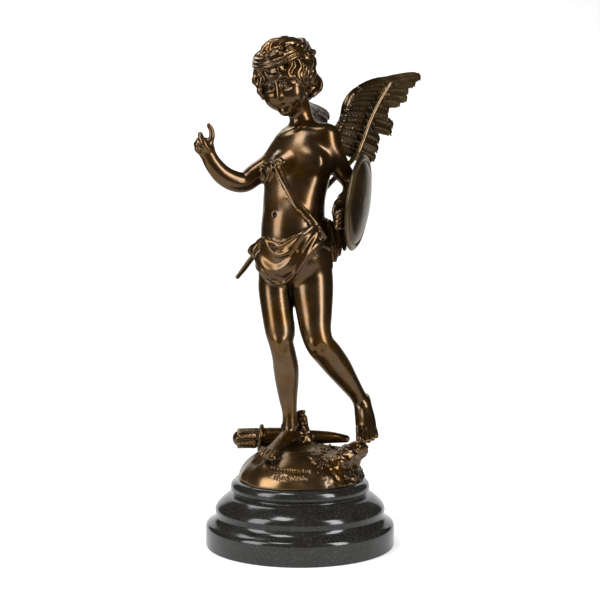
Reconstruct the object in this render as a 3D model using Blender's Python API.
import bpy
import bmesh
import numpy as np
from itertools import product
from math import sin, cos, pi, radians, floor, ceil, sqrt
from mathutils import Matrix, Vector

# Cupid statue: bronze boy on a rocky mound, with wings, shield and bow, on a turned marble plinth.

# Driving sizes in metres
PLINTH_RADIUS = 0.0925
PLINTH_HEIGHT = 0.0625
DISC_HEIGHT = 0.0195
TORUS_RADIUS = 0.0685
FIGURE_HEIGHT = 0.4375
SHIELD_RADIUS = 0.0474
SHIELD_DOME = 0.0070
SHIELD_WALL = 0.0026
SEAT_GAP = 0.0003
LATHE_SIDES = 40

# The figure is laid out on a grid of 437.5 units from the plinth's top to the crown
MM = 0.001
UNIT = FIGURE_HEIGHT / 437.5 / MM
FAR = 30.0
MOUND_RADIUS = 62.0
CUP = 2.0
LEFT_ROOT = (29.0, 16.0, 340.0)
RIGHT_ROOT = (-8.0, 30.0, 342.0)
LEFT_SET = (60.0, 0.0)
RIGHT_SET = (14.5, 13.5)
SHIELD_AT = (58.2, -10.0, 271.4)
SHIELD_FACING = (0.952, -0.267, -0.151)
PAD_BACK = 2.0
BOW_SEAT = 32.0

# The figure is drawn as one eye sees it: across and down on a sheet of 600, and depth behind the axis
EYE_AWAY = 939.0
EYE_UP = 176.5
SHEET = 950.0


def seen(across, down, depth):
    share = (EYE_AWAY + depth) / SHEET
    return ((across - 300.0) * share, depth, EYE_UP + (300.0 - down) * share)


def spot(across, down, depth):
    x, _, z = seen(across, down, depth)
    return (x, z)


# Boxes where the surface keeps smaller faces: the face, the two hands and the hip cloth
FINE_ZONES = (((-0.050, -0.060, 0.425), (0.012, -0.018, 0.475)),
              ((-0.110, -0.060, 0.380), (-0.080, 0.020, 0.420)),
              ((0.020, -0.060, 0.300), (0.052, -0.015, 0.335)),
              ((-0.055, -0.060, 0.250), (0.048, -0.010, 0.318)))

FACES = {'figure': 6000, 'left_wing': 1000, 'right_wing': 760, 'bow': 260}


class Field:
    """Signed distance to a surface on a regular grid of points, in grid units."""

    def __init__(self, low, high, step):
        self.step = step
        self.low = np.array(low, float)
        self.size = [int(ceil((b - a) / step)) + 1 for a, b in zip(low, high)]
        self.axis = [(self.low[k] + step * np.arange(self.size[k])).astype(np.float32) for k in range(3)]
        self.value = np.full(self.size, FAR, np.float32)

    def window(self, low, high):
        cut = []
        for k in range(3):
            first = max(0, int(floor((low[k] - self.low[k]) / self.step)))
            last = min(self.size[k], int(ceil((high[k] - self.low[k]) / self.step)) + 1)
            if last - first < 1:
                return None
            cut.append(slice(first, last))
        return tuple(cut)

    def points(self, cut):
        x = self.axis[0][cut[0]][:, None, None]
        y = self.axis[1][cut[1]][None, :, None]
        z = self.axis[2][cut[2]][None, None, :]
        return x, y, z


def soft_min(a, b, blend):
    if blend <= 0.0:
        return np.minimum(a, b)
    share = np.clip(0.5 + 0.5 * (b - a) / blend, 0.0, 1.0)
    return b + (a - b) * share - blend * share * (1.0 - share)


def merge(field, cut, shape, blend, cutting=False):
    if cutting:
        field.value[cut] = -soft_min(-field.value[cut], shape, blend)
    else:
        field.value[cut] = soft_min(field.value[cut], shape, blend)


def turned(yaw=0.0, pitch=0.0, roll=0.0):
    """Rows are the piece's own right, back and up directions."""
    turn = Matrix.Rotation(radians(yaw), 3, 'Z') @ Matrix.Rotation(radians(pitch), 3, 'X')
    turn = turn @ Matrix.Rotation(radians(roll), 3, 'Y')
    return np.array(turn.transposed())


def ball(field, centre, radii, turn=None, blend=3.0, cutting=False):
    radii = np.array(radii, float)
    reach = radii.max() + max(blend, 1.5 * field.step) + 1.0
    cut = field.window(np.array(centre) - reach, np.array(centre) + reach)
    if cut is None:
        return
    x, y, z = field.points(cut)
    x, y, z = x - centre[0], y - centre[1], z - centre[2]
    if turn is None:
        turn = np.eye(3)
    near = 0.0
    far = 0.0
    for k in range(3):
        own = turn[k][0] * x + turn[k][1] * y + turn[k][2] * z
        near = near + (own / radii[k]) ** 2
        far = far + (own / radii[k] ** 2) ** 2
    near = np.sqrt(near) + 1e-6
    merge(field, cut, near * (near - 1.0) / (np.sqrt(far) + 1e-6), blend, cutting)


def eased(stations, pitch):
    """Stations along a smooth curve, about one pitch apart."""
    rows = np.array(stations, float)
    rows = np.vstack([2 * rows[0] - rows[1], rows, 2 * rows[-1] - rows[-2]])
    out = [rows[1]]
    for k in range(1, len(rows) - 2):
        a, b, c, d = rows[k - 1], rows[k], rows[k + 1], rows[k + 2]
        count = max(1, int(round(np.linalg.norm(c[:3] - b[:3]) / pitch)))
        for j in range(1, count + 1):
            t = j / count
            out.append(0.5 * (2 * b + (c - a) * t + (2 * a - 5 * b + 4 * c - d) * t * t
                              + (3 * b - a - 3 * c + d) * t ** 3))
    return np.array(out)


def limb(field, stations, wide=None, blend=3.0, cutting=False, pitch=None, inner=0.0, flat=False):
    """Stations are x, y, z, half width, half depth and, for a trunk, the turn of its width."""
    rows = [list(s) + [s[3]] if len(s) == 4 else list(s) for s in stations]
    rows = eased(rows, pitch or max(2.0, 2.5 * field.step))
    reach = rows[:, 3:5].max() + max(blend, 1.5 * field.step) + 1.0
    whole = field.window(rows[:, :3].min(0) - reach, rows[:, :3].max(0) + reach)
    if whole is None:
        return
    shape = np.full([c.stop - c.start for c in whole], FAR, np.float32)
    for a, b in zip(rows[:-1], rows[1:]):
        own = max(a[3], a[4], b[3], b[4]) + max(blend, 1.5 * field.step) + 1.0
        cut = field.window(np.minimum(a[:3], b[:3]) - own, np.maximum(a[:3], b[:3]) + own)
        if cut is None:
            continue
        x, y, z = field.points(cut)
        x, y, z = x - a[0], y - a[1], z - a[2]
        along = b[:3] - a[:3]
        length = np.linalg.norm(along) + 1e-9
        along = along / length
        run = x * along[0] + y * along[1] + z * along[2]
        share = np.clip(run / length, 0.0, 1.0)
        local = tuple(slice(c.start - w.start, c.stop - w.start) for c, w in zip(cut, whole))
        if wide is None and len(a) == 5 and abs(a[3] - a[4]) + abs(b[3] - b[4]) < 1e-6:
            square = x * x + y * y + z * z - run * run + (run - share * length) ** 2
            piece = np.sqrt(np.maximum(square, 0.0)) - (a[3] + (b[3] - a[3]) * share)
        else:
            if len(a) > 5:
                angle = radians(0.5 * (a[5] + b[5]))
                side = np.array((cos(angle), sin(angle), 0.0))
            else:
                side = np.array(wide if wide is not None else (1, 0, 0), float)
            side = side - along * side.dot(along)
            side = side / (np.linalg.norm(side) + 1e-9)
            deep = np.cross(along, side)
            half = a[3] + (b[3] - a[3]) * share
            thick = a[4] + (b[4] - a[4]) * share
            over = run - share * length
            first = x * side[0] + y * side[1] + z * side[2]
            second = x * deep[0] + y * deep[1] + z * deep[2]
            cap = np.minimum(half, thick)
            near = np.sqrt((first / half) ** 2 + (second / thick) ** 2 + (over / cap) ** 2) + 1e-6
            far = (first / half ** 2) ** 2 + (second / thick ** 2) ** 2 + (over / cap ** 2) ** 2
            piece = near * (near - 1.0) / (np.sqrt(far) + 1e-6)
        shape[local] = soft_min(shape[local], piece, inner)
    merge(field, whole, shape, blend, cutting)


def lay(field, x, z, start=-70.0, lift=0.0):
    """Depth at which the surface is met from the front."""
    i = int(np.clip(round((x - field.low[0]) / field.step), 0, field.size[0] - 1))
    k = int(np.clip(round((z - field.low[2]) / field.step), 0, field.size[2] - 1))
    column = field.value[i, :, k]
    depth = field.axis[1]
    hit = np.nonzero((column < 0) & (depth > start))[0]
    if len(hit) == 0 or hit[0] == 0:
        return 0.0
    j = hit[0]
    share = column[j - 1] / (column[j - 1] - column[j] + 1e-9)
    return float(depth[j - 1] + share * field.step - lift)


def sample(field, point):
    """Field value at any point, between the grid's own points."""
    place = (np.array(point) - field.low) / field.step
    base = np.clip(np.floor(place).astype(int), 0, np.array(field.size) - 2)
    part = place - base
    total = 0.0
    for o in product((0, 1), repeat=3):
        weight = np.prod([part[k] if o[k] else 1.0 - part[k] for k in range(3)])
        total += weight * field.value[tuple(base + o)]
    return float(total)


def untangled(inside):
    """Fills the few corner-to-corner contacts that would give a pinched surface."""
    for _ in range(30):
        count = 0
        for p, q in ((0, 1), (0, 2), (1, 2)):
            a, b, c, d = [slice(None)] * 3, [slice(None)] * 3, [slice(None)] * 3, [slice(None)] * 3
            a[p], a[q] = slice(None, -1), slice(None, -1)
            b[p], b[q] = slice(1, None), slice(None, -1)
            c[p], c[q] = slice(None, -1), slice(1, None)
            d[p], d[q] = slice(1, None), slice(1, None)
            a, b, c, d = tuple(a), tuple(b), tuple(c), tuple(d)
            first = inside[a] & inside[d] & ~inside[b] & ~inside[c]
            count += int(first.sum())
            inside[b] |= first
            second = inside[b] & inside[c] & ~inside[a] & ~inside[d]
            count += int(second.sum())
            inside[a] |= second
        total = corner_count(inside)
        low, high = slice(None, -1), slice(1, None)
        for s in ((low, low, low), (high, low, low), (low, high, low), (low, low, high)):
            t = tuple(high if v == low else low for v in s)
            pair = (total == 2) & inside[s] & inside[t]
            hole = (total == 6) & ~inside[s] & ~inside[t]
            count += int(pair.sum()) + int(hole.sum())
            inside[(t[0], s[1], s[2])] |= pair
            inside[(t[0], t[1], s[2])] |= pair
            inside[s] |= hole
            inside[t] |= hole
        if count == 0:
            break
    return inside


def corner_count(inside):
    small = inside.astype(np.int8)
    small = small[:-1] + small[1:]
    small = small[:, :-1] + small[:, 1:]
    return small[:, :, :-1] + small[:, :, 1:]


def surface(field):
    """Points and four-sided faces of the zero surface, largest closed part only."""
    value = field.value
    inside = value < 0.0
    for k in range(3):
        edge = [slice(None)] * 3
        for end in (0, -1):
            edge[k] = end
            inside[tuple(edge)] = False
    kept = inside.copy()
    inside = untangled(inside)
    value = np.where(inside & ~kept, -0.05 * field.step, value)
    value = np.where(~inside & (value < 0.0), 0.05 * field.step, value)
    total = corner_count(inside)
    cells = np.nonzero((total > 0) & (total < 8))
    number = np.full(total.shape, -1, np.int32)
    number[cells] = np.arange(len(cells[0]), dtype=np.int32)
    corner = {}
    for o in product((0, 1), repeat=3):
        corner[o] = value[cells[0] + o[0], cells[1] + o[1], cells[2] + o[2]]
    place = np.zeros((len(cells[0]), 3))
    hits = np.zeros(len(cells[0]))
    for o in product((0, 1), repeat=3):
        for k in range(3):
            if o[k]:
                continue
            other = tuple(1 if m == k else o[m] for m in range(3))
            a, b = corner[o], corner[other]
            crossing = (a < 0) != (b < 0)
            share = np.where(crossing, a / np.where(crossing, a - b, 1.0), 0.0)
            for m in range(3):
                part = share if m == k else float(o[m])
                place[:, m] += np.where(crossing, part, 0.0)
            hits += crossing
    place = place / hits[:, None]
    points = field.low + field.step * (np.stack(cells, 1) + place)
    faces = []
    for k in range(3):
        m, n = (k + 1) % 3, (k + 2) % 3
        low, high = [slice(None)] * 3, [slice(None)] * 3
        low[k], high[k] = slice(None, -1), slice(1, None)
        first, second = inside[tuple(low)], inside[tuple(high)]
        for sign, mask in ((1, first & ~second), (-1, second & ~first)):
            at = np.stack(np.nonzero(mask), 1)
            ring = []
            for dm, dn in ((-1, -1), (0, -1), (0, 0), (-1, 0)):
                near = at.copy()
                near[:, m] += dm
                near[:, n] += dn
                ring.append(number[near[:, 0], near[:, 1], near[:, 2]])
            faces.append(np.stack(ring[::sign], 1))
    faces = np.vstack(faces)
    label = np.arange(len(points))
    edges = np.vstack([faces[:, (0, 1)], faces[:, (1, 2)], faces[:, (2, 3)], faces[:, (3, 0)]])
    while True:
        least = np.minimum(label[edges[:, 0]], label[edges[:, 1]])
        fresh = label.copy()
        np.minimum.at(fresh, edges[:, 0], least)
        np.minimum.at(fresh, edges[:, 1], least)
        np.minimum.at(fresh, label[edges[:, 0]], least)
        np.minimum.at(fresh, label[edges[:, 1]], least)
        fresh = fresh[fresh]
        if np.array_equal(fresh, label):
            break
        label = fresh
    names, sizes = np.unique(label, return_counts=True)
    keep = label == names[np.argmax(sizes)]
    order = np.cumsum(keep) - 1
    faces = order[faces[keep[faces[:, 0]]]]
    return points[keep], faces


FOOT_TOES = (((276.5, 454.5, -33), (271.5, 459.5, -42)), ((272.5, 453.5, -33), (267.5, 459, -43)),
             ((269, 452.2, -31), (264, 457.6, -41)), ((266, 450.8, -28), (261.4, 455.4, -37)),
             ((263.6, 449.2, -24), (260, 452.6, -32)))


def trunk(field):
    rows = [(*seen(297, 273, 5), 25, 15, -20), (*seen(295.5, 267, 3), 33, 25, -20),
            (*seen(295, 259, 0), 35.2, 29, -24),
            (*seen(294, 245, -2), 32.5, 29, -30), (*seen(293.5, 222, -3), 30.6, 28, -32),
            (*seen(294, 200, 0), 30.8, 26, -32),
            (*seen(296.5, 180, 2), 32.6, 25, -30), (*seen(300, 160, 4), 33.5, 24, -28),
            (*seen(302, 145, 5), 30, 20, -28)]
    limb(field, rows, blend=4.0, inner=2.0)
    limb(field, [(*seen(282, 153, 12), 11.0), (*seen(303, 138, 5), 14), (*seen(327, 137, -4), 12.5)],
         blend=8.0)
    limb(field, [(*seen(303, 136, 4), 14), (*seen(302, 122, 2), 11.8), (*seen(298, 104, -2), 11.6)],
         blend=7.0)
    ball(field, (seen(287.5, 230, -13)), (21.5, 19, 25), turned(-32), 12.0)
    ball(field, (seen(280, 296, 18)), (18, 15, 18), turned(-20), 7.0)
    ball(field, (seen(311, 294, 14)), (18, 15, 18), turned(-20), 7.0)
    ball(field, (seen(281, 166, -12)), (14, 8, 12), turned(-28), 7.0)
    ball(field, (seen(311, 163, -17)), (14, 8, 12), turned(-28), 7.0)


def legs(field):
    limb(field, [(*seen(276, 262, 2), 17, 21), (*seen(275.3, 276, 1), 16.6, 20.5),
                 (*seen(275, 290, 1), 16.4, 19.5), (*seen(277.4, 312, -2), 15.6, 18),
                 (*seen(280, 330, -6), 14.8, 15.5),
                 (*seen(281, 342, -8), 12.2, 13), (*seen(284, 355, -4), 12, 13),
                 (*seen(286, 368, 2), 12.6, 14),
                 (*seen(287, 382, 6), 11.5, 12.5), (*seen(288, 397, 8), 9.3, 9.8),
                 (*seen(289.5, 412, 9), 7.4, 8.6),
                 (*seen(290, 426, 9), 7.6, 9)], wide=(1, 0, 0), blend=6.0)
    limb(field, [(*seen(293, 437, 13), 8.0, 8), (*seen(287.5, 439, 2), 8.2, 9),
                 (*seen(280.5, 444.5, -10), 8.6, 7.0),
                 (*seen(274, 449.5, -21), 9.2, 5.2), (*seen(270.5, 452.5, -28), 9.0, 4.4)],
                 wide=(0.72, -0.62, 0.1), blend=4.0)
    for k in range(5):
        base = seen(*FOOT_TOES[k][0])
        tip = seen(*FOOT_TOES[k][1])
        size = (3.5, 2.6, 2.5, 2.4, 2.3)[k]
        limb(field, [(*base, size), (*[0.5 * (p + q) for p, q in zip(base, tip)], size * 0.92),
                     (*tip, size)], blend=0.8)
    limb(field, [(*seen(311, 260, -1), 20, 22), (*seen(312.4, 276, -3), 20.2, 21),
                 (*seen(312.6, 290, -5), 20.4, 20), (*seen(314.2, 312, -9), 17.6, 17.5),
                 (*seen(315.6, 330, -13), 15.2, 15.5),
                 (*seen(320, 344, -14), 14, 14), (*seen(328.5, 354.5, -6), 14.0, 14),
                 (*seen(339, 368, 4), 12.7, 14.5),
                 (*seen(348, 381, 13), 10.4, 12), (*seen(355.5, 392, 19), 8.5, 9.5),
                 (*seen(361.5, 402, 22), 7.8, 8.5)],
         wide=(1, 0, 0), blend=4.0)
    crease = [spot(290, 285, -24), spot(290.3, 296, -24), spot(291.5, 306, -22), spot(293.5, 316, -18)]
    limb(field, [(x, lay(field, x, z, lift=-0.8), z, 2.0) for x, z in crease], blend=2.5, cutting=True)
    limb(field, [(*seen(364.5, 399, 29), 6.1, 6.5), (*seen(363.2, 406, 22), 8.8, 8),
                 (*seen(365, 418, 13), 10.2, 7),
                 (*seen(366, 426, 5), 10.4, 5.4), (*seen(366, 430, 1), 10.0, 4.2)], wide=(1, 0.1, 0),
                 blend=4.0)
    for k in range(5):
        across = (-7.0, -2.4, 1.6, 5.4, 9.0)[k]
        size = (3.4, 2.5, 2.4, 2.3, 2.2)[k]
        drop = (0.5, -1.0, -0.6, 0.4, 2.0)[k]
        limb(field, [(64.6 + across, -1.0, 50.0, size * 0.9), (64.8 + across, -8.5, 43.5 + drop, size),
                     (64.8 + across, -13.5, 38.0 + drop, size)], blend=0.7)


def right_arm(field):
    limb(field, [(*seen(281.5, 153.5, 11), 11.6), (*seen(268, 166, 9), 11.4),
                 (*seen(256, 174, 8), 10.8), (*seen(245, 182, 6), 10.0),
                 (*seen(234, 181, 2), 10.4), (*seen(223, 175, -3), 9.8), (*seen(214, 165, -8), 8.7),
                 (*seen(209, 156, -11), 7.8),
                 (*seen(207, 150, -12), 7.6)], blend=5.0)
    limb(field, [(*seen(206, 152, -12), 7.2, 5.5), (*seen(204.5, 146, -13), 8.6, 5.5),
                 (*seen(204.5, 142, -13), 7.8, 4.6)],
         wide=(1, 0, 0), blend=3.0)
    limb(field, [(*seen(210, 143, -14), 3.2), (*seen(212, 136, -15), 2.9), (*seen(211, 129, -15), 2.6),
                 (*seen(208.8, 125.5, -16), 2.2)],
         blend=1.5)
    limb(field, [(*seen(208, 150, -17), 3.8), (*seen(204, 144, -20.5), 3.3),
                 (*seen(201, 137, -20), 2.9), (*seen(200.2, 134.3, -19), 2.5)],
         blend=1.2)
    curled = (((*seen(203, 141, -13), 3.0), (*seen(199, 140, -15), 3.0), (*seen(198, 145, -18.5), 2.8)),
              ((*seen(200, 143, -11), 3.0), (*seen(196.5, 144, -14), 2.9),
               (*seen(198, 149, -17.5), 2.7)),
              ((*seen(200, 146, -9), 2.8), (*seen(197, 149, -12), 2.7),
               (*seen(200, 152.5, -15.5), 2.5)))
    for finger in curled:
        limb(field, finger, blend=0.9)


def left_arm(field):
    limb(field, [(*seen(325, 138, -5), 12.6), (*seen(331, 150, -3), 12), (*seen(336.5, 161, 1), 10.8),
                 (*seen(342, 171, 5), 9.8),
                 (*seen(349.5, 182, 7), 8.3), (*seen(350, 191, -1), 7.6), (*seen(346, 199.5, -11), 7.2),
                 (*seen(341.5, 205, -19), 6.6)],
         blend=6.0)
    limb(field, [(*seen(340.5, 205, -19), 6.8, 6), (*seen(340, 212, -24), 7.6, 6.5),
                 (*seen(340, 218, -26), 7.2, 6)],
         wide=(1, 0, 0), blend=3.0)
    for k in range(4):
        drop = 4.6 * k
        limb(field, [(45.0, -23.0, 262.5 - drop, 2.8),
                     (42.0 - 0.6 * k, -31.0 + 0.5 * k, 261.2 - drop, 2.8),
                     (36.6 - 0.4 * k, -31.4 + 0.6 * k, 259.8 - drop, 2.7),
                     (34.8, -27.0, 259.4 - drop, 2.4)], blend=0.9)
    limb(field, [(*seen(340, 206, -26), 3.2), (*seen(335.5, 207.5, -29), 2.9),
                 (*seen(334, 213, -30), 2.6)], blend=1.0)


HEAD_AT = (seen(285.5, 75.5, -8))
HEAD_TURN = {'yaw': -20, 'pitch': 20, 'roll': -7}


def head_point(right, back, up):
    """A place given along the head's own right, back and up directions."""
    turn = turned(**HEAD_TURN)
    return tuple(np.array(HEAD_AT) + right * turn[0] + back * turn[1] + up * turn[2])


def face_skin(field, right, up):
    """How far back the head's front surface lies, along the head's own facing line."""
    previous = 1.0
    for k in range(120):
        back = -46.0 + 0.4 * k
        value = sample(field, head_point(right, back, up))
        if value < 0.0:
            return back - 0.4 * value / (value - previous)
        previous = value
    return -25.0


def head(field):
    turn = turned(**HEAD_TURN)
    ball(field, head_point(0, 3, 6), (26, 29, 27), turn, 3.0)
    ball(field, head_point(0.0, -10, -14), (19.4, 18, 22), turn, 8.0)
    for side in (-1, 1):
        ball(field, head_point(10.5 * side, -18, -15), (9, 8, 9), turn, 6.0)
    ball(field, head_point(0, -21.5, -31), (7, 6.5, 5.5), turn, 5.0)
    for side in (-1, 1):
        front = face_skin(field, 9.2 * side, -4)
        ball(field, head_point(9.2 * side, front - 0.2, -4), (6.4, 3.0, 3.8), turn, 3.5, cutting=True)
        ball(field, head_point(9.3 * side, front + 6.0, -4.3), (5.0, 4.8, 4.0), turn, 1.2)
        rows = []
        for right, up, size in ((3.0, 1.0, 1.2), (8.5, 3.2, 1.5), (14.5, 1.2, 1.0)):
            rows.append((*head_point(right * side, face_skin(field, right * side, up) + 0.5, up), size))
        limb(field, rows, blend=2.5)
        ball(field, head_point(25 * side, 4, -8), (3, 5, 7), turn, 2.0)
    front = face_skin(field, 0, -8)
    limb(field, [(*head_point(0, front + 1.0, 0), 2.0), (*head_point(0, front - 0.6, -7), 2.4),
                 (*head_point(0, front - 2.2, -12.5), 3.2)], blend=2.5)
    for side in (-1, 1):
        ball(field, head_point(2.9 * side, front + 0.2, -13.4), (2.1, 2.6, 1.9), turn, 1.3)
    front = face_skin(field, 0, -20)
    limb(field, [(*head_point(-6.2, front + 2.8, -20.4), 1.0),
                 (*head_point(-2.2, front - 0.2, -19.0), 1.7),
                 (*head_point(0, front, -19.6), 1.6), (*head_point(2.2, front - 0.2, -19.0), 1.7),
                 (*head_point(6.2, front + 2.8, -20.4), 1.0)], blend=1.0)
    limb(field, [(*head_point(-4.8, front + 2.4, -22.4), 1.1),
                 (*head_point(0, front - 0.2, -23.0), 2.1),
                 (*head_point(4.8, front + 2.4, -22.4), 1.1)], blend=1.0)


def scalp(turn_deg, rise_deg, lift=0.0):
    """A place on the hair cap: 0 is the brow, 90 the figure's left, and rise from the ears up."""
    a, b = radians(turn_deg), radians(rise_deg)
    return head_point((25.5 + lift) * sin(a) * cos(b), 3 - (30 + lift) * cos(a) * cos(b),
                      6 + (28 + lift) * sin(b))


def locks(rings):
    """Curled strands of hair as lists of stations, from the crown and from under the band."""
    rng = np.random.default_rng(7)
    out = []
    for ring, (count, start, drop, sway, size, lift) in enumerate(rings):
        for k in range(count):
            turn = 360.0 * (k + 0.5 * (ring % 2)) / count + rng.uniform(-5, 5)
            ahead = turn < 58 or turn > 302
            if ahead and start < 30:
                continue
            fall = min(drop, 25) if ahead else drop
            way = 1 if rng.random() < 0.6 else -1
            rows = []
            for j in range(6):
                t = j / 5.0
                bend = way * sway * sin(pi * 1.5 * t)
                girth = size * (0.55 + 0.75 * sin(pi * min(1.0, 0.15 + t * 0.9)))
                down = start - fall * t
                rows.append((*scalp(turn + bend / max(0.35, cos(radians(down))), down,
                                    lift * (0.4 + t)), girth))
            out.append(rows)
    return out


HAIR_RINGS = [(7, 86, 30, 14, 3.6, -0.4), (14, 74, 20, 10, 3.3, 0.2), (15, 40, 30, 10, 4.0, 0.9),
              (15, 14, 30, 9, 4.2, 1.4), (15, -8, 26, 9, 4.0, 1.2)]


FRONT_LOCKS = ((((276, 58), (270, 62), (266, 69), (269, 76), (275, 76.5)), 3.6),
               (((283, 57), (279, 64), (280, 71), (284, 76), (280, 78.5)), 3.4),
               (((290, 58), (291, 66), (287, 72), (289, 77.5), (294, 77)), 3.4),
               (((297, 59), (300, 67), (297, 74), (300, 81), (304, 84)), 3.4),
               (((268, 59), (261, 64), (259, 71), (262, 77), (260, 83)), 3.6),
               (((303, 61), (308, 68), (306, 76), (309, 83), (306, 90)), 3.6),
               (((262, 53), (264, 47), (270, 42), (277, 39.5), (283, 38)), 3.0),
               (((271, 50), (273, 44), (280, 41), (287, 39), (293, 38.5)), 3.0),
               (((281, 49), (284, 44), (291, 42), (297, 42), (302, 44)), 3.0),
               (((291, 50), (295, 46), (301, 46), (305, 49), (308, 54)), 3.0))


def hair(field):
    turn = turned(**HEAD_TURN)
    ball(field, head_point(0.6, 8, 8), (24.6, 28, 26.0), turn, 2.0)
    for rows in locks(HAIR_RINGS):
        limb(field, rows, blend=1.0)
    lobes = ([seen(310, 76, 2), seen(313, 84, 0), seen(312, 90, -2)],
             [seen(313, 74, 2), seen(318, 81, 0), seen(318, 89, -2), seen(313, 95, -4)],
             [seen(306, 80, 6), seen(311, 90, 4), seen(309, 97, 2)],
             [seen(302, 86, 2), seen(305, 93, 0), seen(304, 99, 0)],
             [seen(258, 72, -10), seen(256, 80, -12), seen(259, 86, -14)],
             [seen(262, 82, -16), seen(261, 90, -14), seen(264, 97, -12)])
    for rows in lobes:
        limb(field, [(*p, 4.6 - 0.5 * k) for k, p in enumerate(rows)], blend=1.0)
    for spots, size in FRONT_LOCKS:
        rows = []
        for k, (across, down) in enumerate(spots):
            x, z = spot(across, down, -30)
            rows.append((x, lay(field, x, z, lift=0.1 * size), z, size * (0.8, 1.0, 1.0, 0.85, 0.6)[k]))
        limb(field, rows, blend=0.8)
    band = []
    for k in range(25):
        a = 360.0 * k / 24
        band.append((*scalp(a, 38 - 7 * cos(radians(a)), 3.4), 2.8, 2.2))
    limb(field, band, wide=(0, 0, 1), blend=0.8)
    for side in (-1, 1):
        limb(field, [(*scalp(124, 22, 3), 2.2), (*scalp(124 + 7 * side, 24 + 9 * side, 6), 3.0),
                     (*scalp(124 + 11 * side, 14, 6), 2.4)], blend=1.0)


def mound(field):
    base = field.window((-80, -80, -6), (90, 80, 60))
    x, y, z = field.points(base)
    radial = np.sqrt(x * x + y * y)
    angle = np.arctan2(y, x)
    waves = 0.018 * np.sin(3 * angle + 1) + 0.02 * np.sin(5 * angle) + 0.012 * np.sin(11 * angle + 2)
    rim = MOUND_RADIUS * (1 + waves)
    near = np.sqrt((radial / rim) ** 1.8 + (np.maximum(z, 0.0) / 36.0) ** 1.8)
    shape = (near - 1.0) * 40.0
    shape = shape + 0.9 * np.sin(x * 0.21 + 0.8 * np.sin(z * 0.23)) * np.sin(y * 0.19 + z * 0.13 + 1)
    shape = np.maximum(shape, z - 32.5 - 0.05 * y)
    merge(field, base, shape.astype(np.float32), 4.0)
    limb(field, [(*seen(334, 474, -8), 15), (*seen(346, 462, -6), 12), (*seen(354.5, 452.5, -4), 9.5),
                 (*seen(361, 449.5, -4), 7.5)], blend=5.0)
    limb(field, [(*seen(330, 470, -34), 9), (*seen(344, 457, -22), 9), (*seen(356, 450, -12), 8)],
         blend=3.0)
    limb(field, [(*seen(318, 456, -10), 7), (*seen(330, 454, 4), 6.8), (*seen(345, 453, 10), 6)],
         blend=4.0)
    limb(field, [(*seen(301.5, 414.5, 22), 4.8), (*seen(302.5, 425, 22), 5.4),
                 (*seen(304, 440, 20), 8.5), (*seen(304, 450, 20), 11)], blend=4.0)


def quiver(field):
    limb(field, [(*seen(264, 437.5, 26), 10.0), (*seen(283, 436.5, 27), 9.0),
                 (*seen(308, 437, 29), 7.4), (*seen(330, 437.4, 30), 6.0),
                 (*seen(346, 438.8, 31), 4.0)], blend=1.5)
    limb(field, [(*seen(241, 438.3, 25), 8.6), (*seen(257, 437.5, 26), 9.0)], blend=1.0)
    rng = np.random.default_rng(3)
    for k in range(8):
        a = 2 * pi * k / 8
        at = (seen(257, 437.5, 25.5))
        far = (seen(239.5, 438.3, 24.5))
        limb(field, [(at[0], at[1] + 7.4 * cos(a), at[2] + 7.0 * sin(a), 2.8),
                     (far[0] + rng.uniform(-2, 3), far[1] + 8.0 * cos(a), far[2] + 7.6 * sin(a), 2.6)],
                     blend=0.8)
    ring = []
    for k in range(13):
        a = 2 * pi * k / 12
        x, y, z = seen(261, 437.3, 26)
        ring.append((x + 0.8 * sin(a), y + 11.0 * cos(a), z + 11.2 * sin(a), 2.4))
    limb(field, ring, blend=0.8)
    limb(field, [(*seen(262, 451, 20), 4), (*seen(285, 450, 24), 6), (*seen(320, 450, 28), 5)],
         blend=4.0)


WRAP_TOP = ((-180, 236), (-120, 236), (-90, 230), (-63, 235), (-46, 235), (-32, 232), (-20, 231),
            (-5, 236),
            (5, 239), (18, 244), (30, 249), (46, 253), (71, 257), (90, 258), (130, 248), (180, 236))
WRAP_FOOT = ((-180, 200), (-120, 204), (-90, 208), (-63, 202), (-46, 195), (-32, 192), (-20, 192),
             (-11, 195),
             (5, 204), (18, 213), (30, 220), (46, 228), (71, 226), (90, 222), (130, 206), (180, 200))


def wrap(field):
    """The cloth about the hips is a skin laid over the body between two edge lines."""
    cut = field.window((-60, -60, 180), (60, 60, 268))
    x, y, z = field.points(cut)
    angle = np.degrees(np.arctan2(x + 5.0, -(y - 1.0)))
    top = np.interp(angle, *zip(*WRAP_TOP))
    foot = np.interp(angle, *zip(*WRAP_FOOT))
    skin = field.value[cut] - 2.6
    shape = np.maximum(skin, np.maximum(z - top, foot - z) * 0.9)
    shape = np.maximum(shape, -(field.value[cut] + 3.0))
    merge(field, cut, shape.astype(np.float32), 1.2)


def fold(field, spots, size, lift=0.3, blend=1.5):
    rows = []
    for k, (x, z) in enumerate(spots):
        t = k / (len(spots) - 1)
        rows.append((x, lay(field, x, z, lift=lift), z,
                     size * (0.55 + 0.9 * sin(pi * (0.12 + 0.76 * t)))))
    limb(field, rows, blend=blend)


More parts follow.
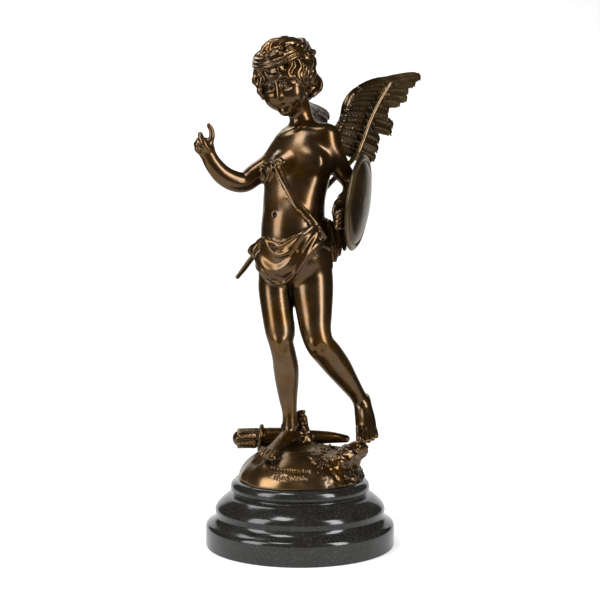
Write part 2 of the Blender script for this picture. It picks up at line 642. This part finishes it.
def cloth(field):
    wrap(field)
    for spots, size, lift, blend in CLOTH_FOLDS:
        fold(field, [spot(*s) for s in spots], size, lift, blend)
    limb(field, [(*seen(260, 243, -11), 4.6, 3.4), (*seen(256.5, 248, -9), 5.0, 4.2),
                 (*seen(254.5, 252, -8), 4.4, 3.8),
                 (*seen(256.5, 258, -8), 3.6, 2.6), (*seen(258.5, 266, -8), 3.0, 2)], wide=(0, 1, 0),
                 blend=2.5)
    limb(field, [(*seen(258, 243, -10), 1.8), (*seen(252, 247, -7), 2.2),
                 (*seen(249.5, 251.5, -5), 2.2), (*seen(252.5, 255, -5), 1.8)], blend=1.2)
    for top, middle, foot, size in HIP_FOLDS:
        limb(field, [(*seen(*top), size * 0.75), (*seen(*middle), size), (*seen(*foot), size * 0.6)],
             blend=2.2)


CLOTH_FOLDS = (
    (((256, 247, -10), (259, 241, -16), (264, 239.5, -22), (268, 243.5, -30), (272, 250, -33),
      (277, 254, -36), (284, 254, -36),
      (291, 250, -34), (298, 241, -32), (304, 234, -31), (311, 229, -30), (319, 224, -28)), 2.1, 0.5,
      1.2),
    (((271, 241, -30), (280, 246, -34), (290, 242, -33), (300, 234.5, -31), (312, 226, -29)), 1.3, 0.1,
     1.5),
    (((276, 247, -30), (284, 249.5, -34), (293, 244.5, -33), (302, 235, -31)), 1.1, 0.0, 1.5),
    (((260, 271, -20), (265, 278.5, -26), (272, 283, -30), (281, 283.5, -32), (289, 279.5, -33),
      (296, 272, -33), (304, 261, -32),
      (312, 251, -30), (320, 242, -26), (327, 235, -20)), 1.3, 0.4, 1.2),
    (((283, 274, -34), (292, 268, -34), (298, 258, -34), (301, 248, -34), (307, 238, -32),
      (316, 229, -30)), 2.4, -0.6, 3.0),
    (((296, 272, -33), (303, 259, -32), (309, 248, -31), (316, 237, -29), (321, 231, -28)), 2.0, -0.4,
     2.5),
    (((258, 252, -16), (262, 261, -25), (268, 268, -30), (277, 270, -33), (287, 265, -34),
      (294, 255, -33)), 2.6, -1.2, 4.0),
    (((258, 262, -14), (262, 270, -24), (268, 275, -30)), 2.2, -0.8, 3.0),
)
HIP_FOLDS = (((324, 230, -18), (327, 246, -14), (331, 266, -8), 3.6),
             ((329, 222, -14), (333, 240, -9), (335, 260, -6), 3.8),
             ((334, 223, -8), (339, 237, -4), (339, 254, -3), 3.8),
             ((338, 223, -2), (343.5, 236, 2), (344.5, 249, 2), 3.4),
             ((335, 224, 6), (338, 240, 9), (336, 256, 8), 4.2))
STRAP_MIDDLE = (spot(276, 165, -28), spot(279.5, 173, -30), spot(283.5, 181, -32), spot(291, 194, -34),
                spot(299, 206, -34),
                spot(310, 219, -33), spot(319, 230, -30), spot(324.5, 238, -28))


def strap(field):
    """The shoulder strap follows the chest; its two edges stand up as narrow folds."""
    fold(field, STRAP_MIDDLE, 1.5, -0.3, 1.0)
    for side in (-1, 1):
        spots = []
        for k, (x, z) in enumerate(STRAP_MIDDLE):
            gap = (1.2, 1.4, 1.7, 2.0, 2.2, 2.3, 2.5, 2.2)[k] * side
            spots.append((x + gap * 0.8, z + gap * 0.6))
        fold(field, spots, 1.1, 0.1, 0.8)
    for spots, size in KNOT_FOLDS:
        fold(field, [spot(*s) for s in spots], size, 0.2, 1.2)
    x, z = spot(275.5, 161.5, -26)
    ball(field, (x, lay(field, x, z, lift=0.6), z), (2.6, 2.2, 2.2), None, 0.8)


KNOT_FOLDS = ((((262, 165, -16), (267.5, 167.5, -20), (268.5, 173, -20), (264, 180, -14)), 1.7),
              (((264, 162, -18), (271, 165, -24), (272.5, 171, -24), (269, 179, -20)), 1.6),
              (((261, 169, -14), (264, 172.5, -16), (262, 177.5, -12)), 1.4),
              (((276, 160, -26), (272, 158.5, -25), (269, 160.5, -24), (272, 163.5, -25)), 1.3),
              (((276, 161, -27), (279.5, 158.8, -28), (282.5, 161, -29), (279.5, 163.5, -28)), 1.3))


def wing_place(root, heading, sweep, s, up, depth):
    """Wing places are run outwards, rise above the root, and depth behind the wing's face."""
    a, b = radians(heading), radians(sweep)
    run = s * cos(b) + up * sin(b)
    rise = -s * sin(b) + up * cos(b)
    return (root[0] + run * sin(a) + depth * -cos(a), root[1] + run * cos(a) + depth * sin(a),
            root[2] + rise)


def wing_spot(across, down):
    """Run and rise on the left wing's plane, from where its feathers are seen."""
    aside, a = across - 300.0, radians(LEFT_SET[0])
    run = (aside * (EYE_AWAY + LEFT_ROOT[1]) / SHEET - LEFT_ROOT[0]) / (sin(a) - aside * cos(a) / SHEET)
    share = (EYE_AWAY + LEFT_ROOT[1] + run * cos(a)) / SHEET
    return (run, EYE_UP + (300.0 - down) * share - LEFT_ROOT[2])


QUILL_BASES = ((42, 53), (39, 50), (36, 46), (33, 42), (30, 37), (27, 32), (24, 27), (21, 21), (18, 15),
               (15, 9),
               (11, 2), (8, -4), (8, -7))
QUILL_ENDS = ((424.5, 75), (419, 81.5), (411, 89.5), (410, 97), (402, 102), (390.5, 108), (389, 115.5),
              (395, 124),
              (393, 131.5), (380.5, 139.5), (378.5, 149), (376, 158), (370.5, 162.5))
QUILL_TIPS = tuple(wing_spot(*end) for end in QUILL_ENDS)
QUILL_WIDTHS = (5.6, 5.6, 6.4, 6.6, 6.6, 7.0, 6.6, 5.6, 5.6, 6.4, 6.6, 6.6, 6.4)
QUILL_SHAPE = ((0.0, 0.9), (0.25, 1.1), (0.5, 1.18), (0.75, 1.15), (0.88, 1.05), (0.95, 0.85),
               (1.0, 0.5))
WING_EDGE = ((-4, -4, 6.5), (7, 4, 7.0), (17, 19, 5.6), (21, 35, 5.4), (29, 47, 4.8), (44, 56, 4.2),
             (62, 61, 3.2),
             (84, 66, 2.4))


def wing(field, root, heading, sweep, face):
    def quill(base, tip, width, thick, depth, bend):
        rows = []
        lean = (tip[0] - base[0], tip[1] - base[1])
        for t, share in QUILL_SHAPE:
            s = base[0] + lean[0] * t - lean[1] * bend * 4 * t * (1 - t)
            up = base[1] + lean[1] * t + lean[0] * bend * 4 * t * (1 - t)
            rows.append((*wing_place(root, heading, sweep, s, up,
                                     face * (depth + CUP * (s / 60.0) ** 2)),
                         width * share, thick * (1.0 - 0.35 * t)))
        across = np.array(wing_place((0, 0, 0), heading, sweep, -lean[1], lean[0], 0.0))
        limb(field, rows, wide=across / np.linalg.norm(across), blend=0.5)

    rows = [(*wing_place(root, heading, sweep, s, up, face * CUP * (s / 60.0) ** 2), size * 0.8) for s,
            up, size in WING_EDGE]
    limb(field, rows, blend=1.0)
    for k, (base, tip) in enumerate(zip(QUILL_BASES, QUILL_TIPS)):
        quill(base, tip, QUILL_WIDTHS[k], 1.7, 0.7 * (k % 2), 0.02 + 0.01 * min(k, 3))
    for share, width, thick, depth in ((0.58, 4.8, 1.9, -1.4), (0.34, 4.2, 2.4, -2.4)):
        for k, (base, tip) in enumerate(zip(QUILL_BASES, QUILL_TIPS)):
            end = (base[0] + (tip[0] - base[0]) * share, base[1] + (tip[1] - base[1]) * share)
            start = (base[0] - 6, base[1] - 1)
            quill(start, end, width, thick, depth + 0.4 * (k % 2), 0.05)
    near = field.window(np.array(root) - 18, np.array(root) + 18)
    x, y, z = field.points(near)
    a = radians(heading)
    ahead = (x - root[0]) * sin(a) + (y - root[1]) * cos(a)
    field.value[near] = np.maximum(field.value[near], -ahead + 0.5 * SEAT_GAP / UNIT / MM)


def trimmed(field, centre, reach, facing, limit):
    """Keeps only what lies behind a plane, close to one place."""
    cut = field.window(np.array(centre) - reach, np.array(centre) + reach)
    x, y, z = field.points(cut)
    ahead = (x - centre[0]) * facing[0] + (y - centre[1]) * facing[1] + (z - centre[2]) * facing[2]
    field.value[cut] = np.maximum(field.value[cut], ahead - limit)


def seats(field):
    """Flat-ended pads that the wings, the shield and the bow rest on."""
    half = 0.5 * SEAT_GAP / UNIT / MM
    for root, heading in ((LEFT_ROOT, LEFT_SET[0]), (RIGHT_ROOT, RIGHT_SET[0])):
        way = np.array((sin(radians(heading)), cos(radians(heading)), 0.0))
        start, end = np.array(root) - 16 * way, np.array(root) + 8 * way
        limb(field, [(*start, 8.5), (*end, 7.0)], blend=3.0)
        trimmed(field, np.array(root) + 6 * way, 15, way, -6.0 - half)
    facing = np.array(SHIELD_FACING)
    start, end = np.array((42.5, -9.0, 275.0)), np.array(SHIELD_AT) + 6 * facing
    limb(field, [(*start, 6.5), (*end, 6.0)], blend=2.0)
    trimmed(field, np.array(SHIELD_AT) + 4 * facing, 12, facing, -4.0 - PAD_BACK - 2 * half)
    limb(field, [(0.0, 18.0, 262.0, 6.0), (0.0, 42.0, 262.0, 5.0)], blend=3.0)
    trimmed(field, (0.0, BOW_SEAT + 6, 262.0), 12, (0, 1, 0), -6.0 - half)


def figure_field(step):
    field = Field((-112, -66, -6), (84, 50, 446), step)
    trunk(field)
    legs(field)
    cloth(field)
    right_arm(field)
    left_arm(field)
    strap(field)
    head(field)
    hair(field)
    seats(field)
    mound(field)
    quiver(field)
    return field


def bow_field(step):
    field = Field((-72, 10, 190), (110, 62, 420), step)
    rows = [(*seen(237.5, 277, 27), 1.7), (*seen(245, 267.5, 29), 2.3), (*seen(253, 257, 32), 2.3),
            (*seen(270, 240, 36), 2.2), (*seen(285, 226, 37.5), 2.3),
            (*seen(300, 213, 38), 2.6), (*seen(317, 197, 37), 2.3), (*seen(333, 180, 33), 2.2),
            (*seen(345, 168, 26), 2.1), (*seen(357, 154, 23), 2.0),
            (*seen(363, 141, 25), 1.9), (*seen(370, 122, 29), 1.8), (*seen(379, 103, 33), 1.6),
            (*seen(391, 83, 38), 1.2)]
    limb(field, rows, blend=0.5)
    ball(field, (seen(237.5, 277, 27)), (2.2, 2.2, 2.2), None, 0.8)
    limb(field, [(0.0, BOW_SEAT - 6, 263.0, 5.5), (0.0, BOW_SEAT + 4, 263.0, 4.5)], blend=1.0)
    trimmed(field, (0.0, BOW_SEAT - 4, 263.0), 9, (0, -1, 0), -4.0 - 0.5 * SEAT_GAP / UNIT / MM)
    return field


def mesh_object(name, points, faces):
    mesh = bpy.data.meshes.new(name)
    mesh.from_pydata([tuple(p) for p in points], [], [tuple(f) for f in faces.tolist()])
    mesh.update()
    obj = bpy.data.objects.new(name, mesh)
    bpy.context.scene.collection.objects.link(obj)
    return obj


def settled(obj):
    """Applies the modifiers that an object carries."""
    graph = bpy.context.evaluated_depsgraph_get()
    mesh = bpy.data.meshes.new_from_object(obj.evaluated_get(graph))
    obj.modifiers.clear()
    obj.data = mesh
    mesh.name = obj.name


def sculpted(name, field, foot=None):
    points, faces = surface(field)
    points = points * UNIT * MM
    points[:, 2] += PLINTH_HEIGHT
    obj = mesh_object(name, points, faces)
    fine = obj.vertex_groups.new(name='fine')
    for low, high in FINE_ZONES:
        inner = ((points > np.array(low)) & (points < np.array(high))).all(1)
        fine.add(np.nonzero(inner)[0].tolist(), 0.25, 'REPLACE')
    thin = obj.modifiers.new('thin', 'DECIMATE')
    thin.vertex_group = 'fine'
    thin.invert_vertex_group = True
    thin.vertex_group_factor = 1.0
    thin.ratio = FACES[name] / (2.0 * len(faces))
    thin.use_collapse_triangulate = True
    settled(obj)
    if foot is not None:
        work = bmesh.new()
        work.from_mesh(obj.data)
        whole = work.verts[:] + work.edges[:] + work.faces[:]
        bmesh.ops.bisect_plane(work, geom=whole, plane_co=(0, 0, foot), plane_no=(0, 0, -1),
                               clear_outer=True, dist=1e-6)
        rim = [e for e in work.edges if e.is_boundary]
        bmesh.ops.holes_fill(work, edges=rim)
        bmesh.ops.remove_doubles(work, verts=work.verts[:], dist=0.0001)
        bmesh.ops.triangulate(work, faces=work.faces[:])
        bmesh.ops.recalc_face_normals(work, faces=work.faces[:])
        work.to_mesh(obj.data)
        work.free()
    return obj


def lathed(name, profile, sides):
    """Turns an outline of radius and height about the upright axis; both ends lie on the axis."""
    points, faces, rings = [], [], []
    for radius, height in profile:
        if radius == 0.0:
            rings.append([len(points)])
            points.append((0.0, 0.0, height))
        else:
            rings.append(list(range(len(points), len(points) + sides)))
            for k in range(sides):
                points.append((radius * cos(2 * pi * k / sides), radius * sin(2 * pi * k / sides),
                               height))
    for low, high in zip(rings[:-1], rings[1:]):
        for k in range(sides):
            n = (k + 1) % sides
            if len(low) == 1:
                faces.append((low[0], high[n], high[k]))
            elif len(high) == 1:
                faces.append((low[k], low[n], high[0]))
            else:
                faces.append((low[k], low[n], high[n], high[k]))
    mesh = bpy.data.meshes.new(name)
    mesh.from_pydata(points, [], faces)
    mesh.update()
    obj = bpy.data.objects.new(name, mesh)
    bpy.context.scene.collection.objects.link(obj)
    return obj


def plinth_profile():
    r, h = PLINTH_RADIUS, PLINTH_HEIGHT
    return [(0.0, 0.0), (r - 0.0010, 0.0), (r, 0.0010), (r, DISC_HEIGHT - 0.0015),
            (r - 0.0012, DISC_HEIGHT + 0.0018),
            (r - 0.0050, DISC_HEIGHT + 0.0045), (r - 0.0072, DISC_HEIGHT + 0.0062),
            (r - 0.0096, 0.0305),
            (r - 0.0092, 0.0350), (r - 0.0105, 0.0388), (r - 0.0145, 0.0432), (r - 0.0205, 0.0478),
            (r - 0.0252, 0.0496), (TORUS_RADIUS - 0.0022, 0.0515), (TORUS_RADIUS, 0.0555),
            (TORUS_RADIUS - 0.0008, 0.0595), (TORUS_RADIUS - 0.0035, h), (0.0, h)]


def shield_profile():
    r, d, w = SHIELD_RADIUS, SHIELD_DOME, SHIELD_WALL
    back = -PAD_BACK * UNIT * MM
    return [(0.0, back), (0.0080, back), (0.0080, d - w - 0.0002), (0.45 * r, d * 0.84 - w),
            (0.80 * r, d * 0.40 - w),
            (r - 0.0062, -w * 0.95), (r - 0.0008, -w), (r, -w + 0.0010), (r - 0.0004, -0.0002),
            (r - 0.0030, 0.0012),
            (r - 0.0060, 0.0010), (0.80 * r, d * 0.42), (0.55 * r, d * 0.76), (0.28 * r, d * 0.95),
            (0.0, d)]


def material(name, colour, metal, rough):
    made = bpy.data.materials.new(name)
    made.use_nodes = True
    shader = made.node_tree.nodes['Principled BSDF']
    shader.inputs['Base Color'].default_value = (*colour, 1.0)
    shader.inputs['Metallic'].default_value = metal
    shader.inputs['Roughness'].default_value = rough
    return made


def build():
    for obj in list(bpy.data.objects):
        bpy.data.objects.remove(obj, do_unlink=True)
    plinth = lathed('plinth', plinth_profile(), LATHE_SIDES)
    figure = sculpted('figure', figure_field(1.6), foot=PLINTH_HEIGHT + SEAT_GAP)
    shield = lathed('shield', shield_profile(), 26)
    facing = Vector(SHIELD_FACING).normalized()
    turn = Vector((0, 0, 1)).rotation_difference(facing).to_matrix().to_4x4()
    at = Vector(SHIELD_AT) * UNIT * MM + Vector((0, 0, PLINTH_HEIGHT))
    shield.data.transform(Matrix.Translation(at) @ turn)
    bow = sculpted('bow', bow_field(0.9))
    left = Field((20, 5, 300), (148, 98, 434), 0.9)
    wing(left, LEFT_ROOT, *LEFT_SET, 1)
    right = Field((-22, 20, 296), (48, 172, 426), 0.9)
    wing(right, RIGHT_ROOT, *RIGHT_SET, -1)
    left_wing = sculpted('left_wing', left)
    right_wing = sculpted('right_wing', right)
    bronze = (0.17, 0.095, 0.05)
    for obj in (figure, shield, bow, left_wing, right_wing):
        obj.data.materials.clear()
        obj.data.materials.append(material('bronze_' + obj.name, bronze, 0.9, 0.32))
    plinth.data.materials.append(material('marble', (0.012, 0.012, 0.013), 0.0, 0.12))
    for obj in (plinth, figure, shield, bow, left_wing, right_wing):
        for face in obj.data.polygons:
            face.use_smooth = obj.name != 'plinth'


build()
